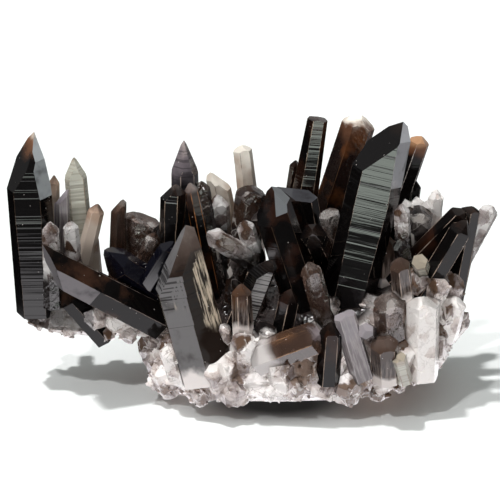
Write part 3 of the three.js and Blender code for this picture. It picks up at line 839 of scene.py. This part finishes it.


# The two tallest crystals: the great one at the right and the tower on the arm. Their smoke is so deep that
# light comes through at the tower's tip alone, and that light is painted on as a pale tip. Growth lines
# cross every side, and sides that face some ways are painted a matt grey, a painted reflection. Both stand
# in the druse by their feet.
SMOKE_GRAIN = 140.0
GLOW_GRAIN = 85.0
SPECK_GRAIN = 900.0
SPECK_LEAST = 0.04
SPECK_RANGE = 0.18
SPECK_FAINTEST = 0.1
SPECK_SPREAD = 0.6
STREAKS_ALONG = (0.9, 0.09)
LINE_ACROSS = 0.02
TIP_TO_NECK = (0.0, 0.4)
NECK_TO_BODY = (0.35, 1.0)
GLOWING_FROM = (0.5, 0.68)
STREAKED_FROM = (0.42, 0.6)
LINED_FROM = (0.5, 0.58)
EDGE_HIGHLIGHT_FROM = (0.35, 0.6)
PAINTED_REFLECTION_FROM = (0.1, 0.5)
STREAK_ENDS = 6.0
STREAK_STARTS = (0.0, 0.1)
LINE_ENDS = 2.0
SPECK_AND_GLINT_COLOUR = (0.8, 0.74, 0.7, 1)
LINE_COLOUR = (0.01, 0.009, 0.009, 1)
FINE_LINES = (0.06, 1.6)
LUMP_GRAIN = 500.0
SMOKE_TINT = (0.78, 0.68, 0.6)


def between(tree, value, low, high, soft):
    """1 where a value lies between two others, with soft ends."""
    after = ease(tree, reckon(tree, "SUBTRACT", value, low), 0.0, soft)
    before = ease(tree, reckon(tree, "SUBTRACT", high, value), 0.0, soft)
    return times(tree, after, before)


def stretched(tree, growth, across, along, **settings):
    """Noise on the growth map, drawn out one way."""
    place = put(tree, "ShaderNodeCombineXYZ", {
        "X": times(tree, growth["X"], across), "Y": times(tree, growth["Y"], along),
    })
    wires = {"Vector": place.outputs["Vector"], "Scale": 1.0, **settings}
    return put(tree, "ShaderNodeTexNoise", wires).outputs["Fac"]


def specks(tree, place, often):
    """Small pale specks and painted glints of several sizes, in a share of the places where one could be.
    """
    dot = put(tree, "ShaderNodeTexVoronoi", {"Vector": place, "Scale": SPECK_GRAIN}).outputs
    chance = split(tree, dot["Color"])
    rare = reckon(tree, "GREATER_THAN", chance["X"], reckon(tree, "SUBTRACT", 1.0, often))
    width = reckon(tree, "MULTIPLY_ADD", chance["Y"], SPECK_RANGE, SPECK_LEAST)
    pale = reckon(tree, "MULTIPLY_ADD", chance["Z"], SPECK_SPREAD, SPECK_FAINTEST)
    return times(tree, reckon(tree, "LESS_THAN", dot["Distance"], width), rare, pale)


def smoky_tone(tree, ask, down):
    """Pale at the tip, and darker down from it by way of the neck."""
    smoke = reckon(tree, "DIVIDE", reckon(tree, "SUBTRACT", down, ask["Tip Length"]), ask["Fade"])
    colour = blend(tree, ease(tree, smoke, *TIP_TO_NECK), ask["Tip"], ask["Neck"])
    return blend(tree, ease(tree, smoke, *NECK_TO_BODY), colour, ask["Body"])


def streaks(tree, ask, growth, ends, down):
    """Where pale wisps run down a side, set in from its left edge."""
    wisps = stretched(tree, growth, *STREAKS_ALONG, Detail=4.0, Roughness=0.6)
    inward = ease(tree, reckon(tree, "SUBTRACT", ends["X"], ask["Streak In"]), 0.0, 1.0)
    on_side = reckon(tree, "LESS_THAN", ends["X"], FAR - 1)
    within = between(tree, down, ask["Streak From"], ask["Streak To"], STREAK_ENDS)
    return times(tree, ease(tree, wisps, *STREAKED_FROM), ask["Streaks"], within, inward, on_side)


def dark_lines(tree, ask, growth, down, streaked):
    """Where dark growth lines cross a side, apart from its streaks."""
    line = stretched(tree, growth, LINE_ACROSS, ask["Lines"], Detail=3.0)
    within = between(tree, down, ask["Lined From"], ask["Lined To"], LINE_ENDS)
    clear = reckon(tree, "SUBTRACT", 1.0, ease(tree, streaked, *STREAK_STARTS))
    return times(tree, ease(tree, line, *LINED_FROM), ask["Lined"], within, clear)


def smoke_look():
    """A crystal's colour down from its tip, with its glow, streaks, specks, and painted glints, edge
    highlights and reflections.
    """
    given = {
        "Tip": (0.02, 0.015, 0.013), "Neck": (0.008, 0.005, 0.004), "Body": (0.003, 0.0025, 0.0025),
        "Tip Length": 0.0, "Fade": 6.0,
        "Glow": (0.04, 0.014, 0.007), "Glowing": 0.0,
        "Streak": (0.1, 0.07, 0.05), "Streaks": 0.0,
        "Streak From": -99.0, "Streak To": 999.0, "Streak In": -9.0,
        "Specks And Glints": 0.0, "Edge": (0.07, 0.045, 0.03), "Edge Width": 0.25,
        "Painted Reflection": (0.24, 0.25, 0.26), "Painted Reflection To": 999.0,
        "Lined": 0.0, "Lined From": -99.0, "Lined To": 999.0, "Lines": 0.9,
        "Foot": (0.5, 0.45, 0.43), "Foot From": 900.0, "Foot Fade": 8.0,
    }
    tree, ask = new_group("smoke_look", given, {"Color": "Color"})
    growth = split(tree, put(tree, "ShaderNodeUVMap", uv_map="growth").outputs["UV"])
    ends = split(tree, put(tree, "ShaderNodeUVMap", uv_map="ends").outputs["UV"])
    place = object_place(tree)
    cloud = cloudy(tree, place, SMOKE_GRAIN, 3.0)
    drift = times(tree, reckon(tree, "SUBTRACT", cloud, 0.5), ask["Fade"])
    down = reckon(tree, "ADD", growth["Y"], drift)

    colour = smoky_tone(tree, ask, down)
    glowing = ease(tree, cloudy(tree, place, GLOW_GRAIN, 5.0), *GLOWING_FROM)
    colour = blend(tree, times(tree, glowing, ask["Glowing"]), colour, ask["Glow"])
    streaked = streaks(tree, ask, growth, ends, down)
    colour = blend(tree, streaked, colour, ask["Streak"])
    # Pale specks, and painted glints.
    colour = blend(tree, specks(tree, place, ask["Specks And Glints"]), colour, SPECK_AND_GLINT_COLOUR)

    # Painted highlights: pale colour in clouds along a side's edges, where they would catch and pass the
    # light.
    near_end = reckon(tree, "DIVIDE", reckon(tree, "MINIMUM", ends["X"], ends["Y"]), ask["Edge Width"])
    edge_highlight = times(tree, ease(tree, near_end, 1.0, 0.0), ease(tree, cloud, *EDGE_HIGHLIGHT_FROM))
    colour = blend(tree, edge_highlight, colour, ask["Edge"])
    # Painted reflection: the marked faces are painted grey, down to a length from the tip.
    painted_reflection = put(tree, "ShaderNodeAttribute", attribute_name="painted_reflection").outputs["Fac"]
    above = reckon(tree, "LESS_THAN", growth["Y"], ask["Painted Reflection To"])
    colour = blend(tree, times(tree, painted_reflection, above, ease(tree, cloud, *PAINTED_REFLECTION_FROM)), colour, ask["Painted Reflection"])
    colour = blend(tree, dark_lines(tree, ask, growth, down, streaked), colour, LINE_COLOUR)
    foot = reckon(tree, "DIVIDE", reckon(tree, "SUBTRACT", down, ask["Foot From"]), ask["Foot Fade"])
    put(tree, "NodeGroupOutput", {"Color": blend(tree, ease(tree, foot, 0.0, 1.0), colour, ask["Foot"])})
    return tree


def growth_relief():
    """Fine growth lines across the sides, and lumps, as a height in millimetres."""
    tree, ask = new_group("growth_relief", {"Lines": 0.02, "Lumps": 0.0}, {"Height": "Float"})
    growth = split(tree, put(tree, "ShaderNodeUVMap", uv_map="growth").outputs["UV"])
    lines = stretched(tree, growth, *FINE_LINES, Detail=2.0)
    lumps = times(tree, cloudy(tree, object_place(tree), LUMP_GRAIN, 3.0), ask["Lumps"])
    height = reckon(tree, "MULTIPLY_ADD", lines, ask["Lines"], lumps)
    put(tree, "NodeGroupOutput", {"Height": height})
    return tree


SMOKE_LOOK = smoke_look()
GROWTH_RELIEF = growth_relief()


def quartz(name, look, lumps=0.0, see_through=0.0, roughness=0.05, gloss=0.5, smoke=0.0):
    """Quartz with the look that is asked for. Inside, smoke takes up light as it goes through."""
    made = bpy.data.materials.new(name)
    made.use_nodes = True
    tree = made.node_tree
    colour = put(tree, "ShaderNodeGroup", node_tree=SMOKE_LOOK)
    fill_in(colour, look)
    height = put(tree, "ShaderNodeGroup", node_tree=GROWTH_RELIEF)
    fill_in(height, {"Lumps": lumps})
    wires = {"Height": height.outputs["Height"], "Distance": MM, "Strength": 1.0}
    bump = put(tree, "ShaderNodeBump", wires)
    finish_quartz(tree, colour, bump, see_through, roughness, gloss)
    if smoke:
        absorb(tree, SMOKE_TINT, smoke)
    return made


GREAT = quartz("great_black_quartz", {
    "Specks And Glints": 0.03, "Edge": (0.14, 0.1, 0.08), "Painted Reflection": (0.34, 0.34, 0.36), "Painted Reflection To": 24.0,
})
grow(GREAT, "great_crystal", row=0.45, relief=0.026, painted_reflection=[(62, 29), (55, -8)])
# The tip is clear quartz, and the light through it is painted on as a pale tip colour.
TOWER = quartz("black_quartz_pale_tip", {
    "Tip": (0.5, 0.42, 0.35), "Neck": (0.16, 0.07, 0.035), "Fade": 12.0, "Tip Length": -2.0,
    "Foot": (0.25, 0.22, 0.22), "Foot From": 76.0, "Painted Reflection": (0.36, 0.38, 0.39), "Specks And Glints": 0.05,
}, gloss=0.3)
grow(TOWER, "left_tower", row=0.42, relief=0.04, painted_reflection=[(57, 8), (57, 31)])


# The sword stands in front, a flat crystal with a slanted head. It is grown of smoky quartz with pale veils
# along its right side. Dark growth lines cross its left side, which is painted grey as a reflection and
# turns milky at the druse.
SWORD = quartz("streaked_quartz", {
    "Tip": (0.11, 0.09, 0.08), "Neck": (0.055, 0.04, 0.034), "Body": (0.014, 0.009, 0.007), "Fade": 16.0,
    "Streak": (0.72, 0.6, 0.46), "Streaks": 0.75, "Streak From": 8.0, "Streak To": 40.0, "Streak In": 4.5,
    "Lined": 0.75, "Lined From": 12.0, "Lined To": 27.0, "Painted Reflection": (0.155, 0.148, 0.15), "Specks And Glints": 0.06,
    "Foot": (0.8, 0.74, 0.72), "Foot From": 51.0, "Foot Fade": 7.0,
}, gloss=0.05, roughness=0.12)
grow(SWORD, "front_sword", row=0.7, relief=0.045, painted_reflection=[(-19, -1), (-83, 24)])


# Crystals that are known by their lines: a ribbed column at the left, one tall at the back, and a short one
# in the middle whose side is painted grey as a reflection, with dark lines. They are deep black quartz with
# pale brown edges painted as highlights, and grow out of the druse side by side.
STRIATED = quartz("striated_black_quartz", {
    "Tip": (0.06, 0.045, 0.04), "Specks And Glints": 0.05, "Glowing": 0.3,
    "Edge": (0.3, 0.22, 0.16), "Edge Width": 0.35,
})
grow(STRIATED, "ribbed_column", row=0.8, relief=0.04)
grow(STRIATED, "back_tall_left", row=0.5, relief=0.02, columns=2)
GREY_STRIATED = quartz("grey_striated_quartz", {
    "Specks And Glints": 0.05, "Edge": (0.6, 0.45, 0.36), "Edge Width": 0.5,
    "Painted Reflection": (0.22, 0.21, 0.205), "Lined": 0.95, "Lines": 1.7,
}, gloss=0.15)
grow(GREY_STRIATED, "centre_striated", row=0.6, relief=0.05, painted_reflection=[(12, -10)])


# Two bars that lie across the arm. They are smooth black quartz that glows brown where it is thin, with a
# stretch below their heads painted grey as a reflection, and pale edges painted as highlights, and they
# lean on the druse along their whole length.
BAR = quartz("lying_black_quartz", {
    "Specks And Glints": 0.08, "Glowing": 0.5, "Glow": (0.07, 0.032, 0.018), "Edge": (0.2, 0.16, 0.14),
    "Painted Reflection": (0.17, 0.155, 0.165), "Painted Reflection To": 27.0,
}, gloss=0.12)
grow(BAR, "crossing_bar", "under_bar", relief=0.012, painted_reflection=[(6, -19), (-65, -18)])


# The smooth black crystals of the middle and the right lean on one another and share their feet. They are
# quartz too dark to see through, with a brown glow here and there, pale edges painted as highlights and a
# few faces painted slate grey as a reflection.
DEEP = quartz("deep_black_quartz", {
    "Specks And Glints": 0.06, "Glowing": 0.5, "Edge": (0.4, 0.3, 0.24), "Edge Width": 0.3,
    "Painted Reflection": (0.045, 0.045, 0.05),
}, gloss=0.15)
grow(DEEP, "right_dark_lower", "right_dark_upper", "right_edge_crystal", relief=0.02, columns=2)
grow(DEEP, "low_dark_point", "inner_dark", "dark_plate", relief=0.02)
grow(DEEP, "centre_cap", relief=0.012, painted_reflection=[(41, 77)], columns=2)
LEANING = quartz("leaning_black_quartz", {
    "Painted Reflection": (0.11, 0.115, 0.12), "Specks And Glints": 0.03, "Glowing": 0.4,
}, gloss=0.15)
grow(LEANING, "centre_lean", relief=0.012, painted_reflection=[(1, 37), (65, 53)])
BLUE = quartz("blue_black_quartz", {"Body": (0.003, 0.003, 0.006), "Specks And Glints": 0.12})
grow(BLUE, "blue_black_crystal", relief=0.03, columns=2)
BLACK = quartz("black_quartz", {"Specks And Glints": 0.04, "Glowing": 0.15})
grow(BLACK, "rear_left", "rear_dark", "rear_edge", columns=2)


# Two slender crystals behind the sword, one with orange-brown edges, a painted glint, and one a violet-grey
# spire. They are smoky quartz with a paler tip, lined across, and stand in the druse between their
# neighbours.
GLINT_EDGED = quartz("glint_edged_quartz", {
    "Tip": (0.16, 0.13, 0.12), "Neck": (0.03, 0.022, 0.02), "Fade": 12.0,
    "Edge": (0.35, 0.14, 0.05), "Edge Width": 0.35, "Glowing": 0.5, "Specks And Glints": 0.08,
}, gloss=0.15)
grow(GLINT_EDGED, "leaning_dark_crystal", relief=0.03)
SPIRE = quartz("violet_grey_quartz", {
    "Tip": (0.42, 0.35, 0.33), "Neck": (0.13, 0.11, 0.12), "Body": (0.02, 0.018, 0.022), "Fade": 20.0,
    "Edge": (0.5, 0.4, 0.35), "Edge Width": 0.4, "Lined": 0.5, "Lined To": 22.0, "Specks And Glints": 0.05,
}, gloss=0.25)
grow(SPIRE, "mid_spire", relief=0.03)


# Rough dark heads between the smooth crystals. They are black quartz whose faces grew uneven, with white
# frost on what stands out, and they are joined to their neighbours below.
ROUGH = milky_quartz("rough_black_quartz", 0.0, 0.12, White=(0.8, 0.73, 0.68), Pale=(0.12, 0.1, 0.095),
                     Grey=(0.02, 0.016, 0.016), Brown=(0.03, 0.014, 0.008),
                     Milk=-0.25, Smoke=0.35, Veils=0.5)
for node in ("rough_dark_point", "dark_chunk", "speckled_block"):
    lump(node, ROUGH)


# Brown crystals, most of them short. They are smoky quartz pale or thin enough for some light to come
# through, darkest at the core, and the low ones turn milky where they meet the druse.
BROWN = quartz("brown_quartz", {
    "Tip": (0.55, 0.47, 0.42), "Neck": (0.3, 0.18, 0.13), "Body": (0.13, 0.08, 0.06),
    "Edge": (0.6, 0.5, 0.44), "Specks And Glints": 0.1, "Glowing": 0.4, "Glow": (0.3, 0.13, 0.06),
}, see_through=0.8, smoke=130.0)
grow(BROWN, "mid_left_point", slot="smoky_brown", columns=2)
TAN = quartz("tan_quartz", {
    "Tip": (0.16, 0.1, 0.075), "Neck": (0.5, 0.36, 0.27), "Body": (0.6, 0.5, 0.42), "Fade": 12.0,
    "Edge": (0.7, 0.6, 0.52), "Specks And Glints": 0.1, "Glowing": 0.6, "Glow": (0.2, 0.1, 0.06),
}, see_through=0.2, smoke=40.0, gloss=0.3)
grow(TAN, "small_brown_point", "brown_stub", slot="smoky_brown", columns=2)
LYING = quartz("brown_quartz_clear_foot", {
    "Tip": (0.4, 0.34, 0.36), "Neck": (0.1, 0.06, 0.045), "Body": (0.08, 0.045, 0.032),
    "Fade": 5.0, "Tip Length": 1.0, "Edge": (0.45, 0.25, 0.14), "Edge Width": 0.5,
    "Foot": (0.85, 0.8, 0.78), "Foot From": 17.0, "Foot Fade": 5.0,
    "Specks And Glints": 0.12, "Glowing": 0.5, "Glow": (0.25, 0.12, 0.06),
}, see_through=0.5, gloss=0.25)
grow(LYING, "lying_smoky", slot="smoky_brown")
DARK_BROWN = quartz("dark_brown_quartz", {
    "Tip": (0.08, 0.055, 0.045), "Neck": (0.05, 0.03, 0.022), "Body": (0.018, 0.011, 0.009), "Fade": 9.0,
    "Edge": (0.55, 0.42, 0.34), "Edge Width": 0.35, "Specks And Glints": 0.12,
    "Glowing": 0.7, "Glow": (0.08, 0.035, 0.016),
    "Streak": (0.4, 0.32, 0.28), "Streaks": 0.3, "Streak From": 4.0,
    "Foot": (0.75, 0.68, 0.65), "Foot From": 15.0, "Foot Fade": 3.0,
}, gloss=0.25)
grow(DARK_BROWN, "fluted_point", "brown_low", "front_point", "inner_brown", slot="smoky_brown")
grow(DARK_BROWN, "rear_middle", "rear_right", slot="smoky_brown", columns=2)


# Broken smoky blocks and knobs. They are clear brown quartz, cracked right through, so that pale flats and
# dark windows lie side by side, and they sit among the crystals like wedges.
SMOKY_LUMP = milky_quartz("smoky_lump_quartz", 0.7, 0.05, smoke=90.0, White=(0.8, 0.74, 0.7),
                          Pale=(0.36, 0.29, 0.26), Grey=(0.2, 0.15, 0.13), Brown=(0.12, 0.07, 0.05),
                          Milk=-0.25, Veils=0.6)
for node in ("clear_block", "smoky_chunk", "glitter_knob", "brown_chunk"):
    lump(node, SMOKY_LUMP)


# The tall crystals at the back right: one rounded and dark brown under a cream top, one black below a tan
# tip. They are smoky quartz with a lumpy skin, rooted in the druse behind the great crystal.
TALL_BROWN = quartz("tall_brown_quartz", {
    "Tip": (0.9, 0.82, 0.72), "Neck": (0.1, 0.045, 0.025), "Body": (0.01, 0.005, 0.004), "Fade": 13.0,
    "Tip Length": 0.5, "Edge": (0.12, 0.06, 0.03), "Glowing": 0.9, "Glow": (0.1, 0.035, 0.012),
}, lumps=0.3, gloss=0.25, roughness=0.15)
grow(TALL_BROWN, "back_tall_brown", slot="smoky_brown", relief=0.02)
TAN_TIP = quartz("tan_tipped_quartz", {
    "Tip": (0.4, 0.22, 0.12), "Neck": (0.12, 0.05, 0.025), "Fade": 9.0, "Tip Length": 1.0,
    "Edge": (0.7, 0.62, 0.58),
}, gloss=0.1)
grow(TAN_TIP, "back_right_tall", relief=0.02, columns=2)


# Pale crystals, cream, greenish and lilac. They are quartz with hardly any smoke, cloudy inside and faintly
# lined across or fluted along, and each stands in the druse on its own.
CREAM = quartz("cream_quartz", {
    "Tip": (0.95, 0.88, 0.78), "Neck": (0.66, 0.52, 0.42), "Body": (0.2, 0.11, 0.075), "Fade": 40.0,
}, see_through=0.3, roughness=0.2, gloss=0.3)
grow(CREAM, "back_pale_left", "back_pale_right", slot="pale_quartz")
GREEN_CREAM = quartz("greenish_quartz", {
    "Tip": (0.42, 0.36, 0.28), "Neck": (0.58, 0.56, 0.47), "Body": (0.5, 0.48, 0.4), "Fade": 10.0,
    "Edge": (0.25, 0.16, 0.1), "Edge Width": 0.5, "Lined": 0.25,
}, see_through=0.2, roughness=0.2)
grow(GREEN_CREAM, "pale_blade", "cream_low", "cream_hexagon", slot="pale_quartz", relief=0.08)
LILAC = quartz("lilac_quartz", {
    "Tip": (0.4, 0.36, 0.38), "Neck": (0.3, 0.27, 0.29), "Body": (0.16, 0.135, 0.14), "Fade": 20.0,
    "Edge": (0.6, 0.55, 0.55), "Edge Width": 0.4, "Specks And Glints": 0.15,
    "Streak": (0.45, 0.4, 0.4), "Streaks": 0.6,
}, see_through=0.4, roughness=0.12, gloss=0.3)
grow(LILAC, "lilac_point", "lilac_blade", "lilac_stub", slot="pale_quartz", relief=0.05)


# Clear and white lumps that fill the gaps. They are quartz full of bubbles and cracks, clear ones above a
# smoky foot and milky white ones on the right, grown fast to the crystals round them.
CLEAR = milky_quartz("clear_quartz", 0.45, 0.04, smoke=15.0, White=(0.95, 0.92, 0.9),
                     Pale=(0.62, 0.56, 0.54), Grey=(0.27, 0.22, 0.21), Brown=(0.1, 0.055, 0.035),
                     Milk=0.06)
SMOKY_BELOW = {
    "bubbly_point_left": 53 * MM, "bubbly_point_right": 48 * MM, "pale_chunk": 62 * MM,
    "clear_lean": 62 * MM, "bright_point": 70 * MM, "clear_tip": 42 * MM,
}
for node, height in SMOKY_BELOW.items():
    lump(node, CLEAR, dark_below=height)
WHITE = milky_quartz("white_quartz", 0.15, 0.12, Milk=0.42, Veils=0.6, Cracks=0.2)
lump("white_block", WHITE, block=5 * MM)
lump("pink_crystal", WHITE, block=7 * MM)
lump("pale_grey_back", WHITE, block=7 * MM, dark_below=60 * MM)
